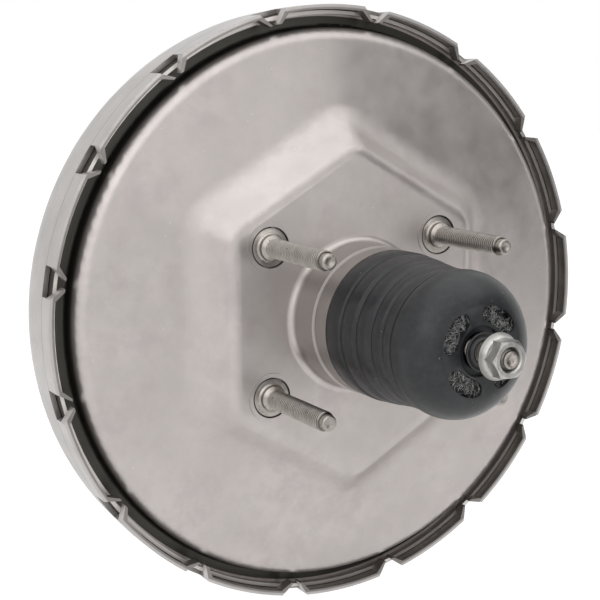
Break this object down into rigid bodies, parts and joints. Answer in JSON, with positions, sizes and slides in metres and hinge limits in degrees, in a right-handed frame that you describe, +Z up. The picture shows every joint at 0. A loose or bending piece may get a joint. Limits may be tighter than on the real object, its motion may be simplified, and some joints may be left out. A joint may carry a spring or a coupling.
{
  "type": "brake booster",
  "caption": "Vacuum brake booster with a lanced round shell, studs for the bulkhead and master cylinder, a ribbed dust boot, a sliding power piston and a threaded pedal rod.",
  "frame": {"origin": "centre of the four firewall studs, on the flat boss face that meets the bulkhead", "axes": "+Y forward along the booster's axis towards the master cylinder, -Y towards the pedal, +Z up, +X to the right as seen from the pedal"},
  "size_m": [0.2522, 0.2096, 0.2522],
  "materials": {
    "shell_dark": "dark zinc nickel plate, satin",
    "shell_bright": "zinc nickel plate, satin with fine grain",
    "plate_steel": "zinc plate, satin",
    "stud_steel": "zinc nickel plate, satin",
    "nut_steel": "bright zinc plate",
    "machined_steel": "zinc plate, turned",
    "spring_steel": "oiled spring wire",
    "rubber": "moulded, semi-matt",
    "hub_resin": "moulded glass filled resin",
    "nylon": "natural nylon",
    "black_nylon": "moulded, satin",
    "felt": "open fibre felt"
  },
  "bodies": {
    "shell": {"front_shell": "shell_dark", "rear_shell": "shell_bright", "front_reinforcement_plate": "plate_steel", "rear_reinforcement_plate": "plate_steel", "firewall_studs": "stud_steel", "master_cylinder_studs": "stud_steel", "neck_seal": "rubber", "neck_seal_retainer": "nylon", "neck_bushing": "nylon", "front_seal": "rubber", "front_seal_retainer": "plate_steel", "check_valve_grommet": "rubber", "check_valve_body": "black_nylon", "check_valve_spring": "spring_steel", "dust_boot": "rubber", "diaphragm": "rubber", "return_spring": "spring_steel"},
    "power_piston": {"valve_body": "hub_resin", "diaphragm_plate": "plate_steel", "diaphragm_lock_ring": "nylon", "reaction_disc": "rubber", "output_rod": "plate_steel", "output_rod_screw": "stud_steel", "output_rod_retainer": "plate_steel", "control_valve_poppet": "rubber", "poppet_retainer": "plate_steel", "poppet_spring": "spring_steel", "rod_return_spring": "spring_steel", "air_filter": "felt", "silencer": "felt"},
    "plunger": {"valve_plunger": "machined_steel", "stop_key": "plate_steel"},
    "push_rod": {"input_rod": "machined_steel", "spring_washer": "plate_steel", "rod_grommet": "rubber", "flange_nut": "nut_steel"},
    "check_disc": {"check_valve_disc": "rubber"}
  },
  "joints": [
    {"name": "booster_stroke", "type": "slide", "parent": "shell", "child": "power_piston", "axis": [0, 1, 0], "range_m": [0, 0.031], "stiffness_N_per_m": 1500, "springref_m": -0.04, "deforming": ["return_spring", "dust_boot", "diaphragm"]},
    {"name": "valve_stroke", "type": "slide", "parent": "power_piston", "child": "plunger", "axis": [0, 1, 0], "range_m": [0, 0.0016], "stiffness_N_per_m": 900, "springref_m": -0.012, "deforming": ["rod_return_spring"]},
    {"name": "rod_swivel", "type": "hinge", "parent": "plunger", "child": "push_rod", "pos_m": [0, -0.018, 0], "axis": [1, 0, 0], "range_deg": [-1.5, 1.5], "stiffness_Nm_per_rad": 8},
    {"name": "check_valve_lift", "type": "slide", "parent": "shell", "child": "check_disc", "axis": [0, 1, 0], "range_m": [0, 0.002], "stiffness_N_per_m": 200, "springref_m": -0.002, "deforming": ["check_valve_spring"]}
  ]
}
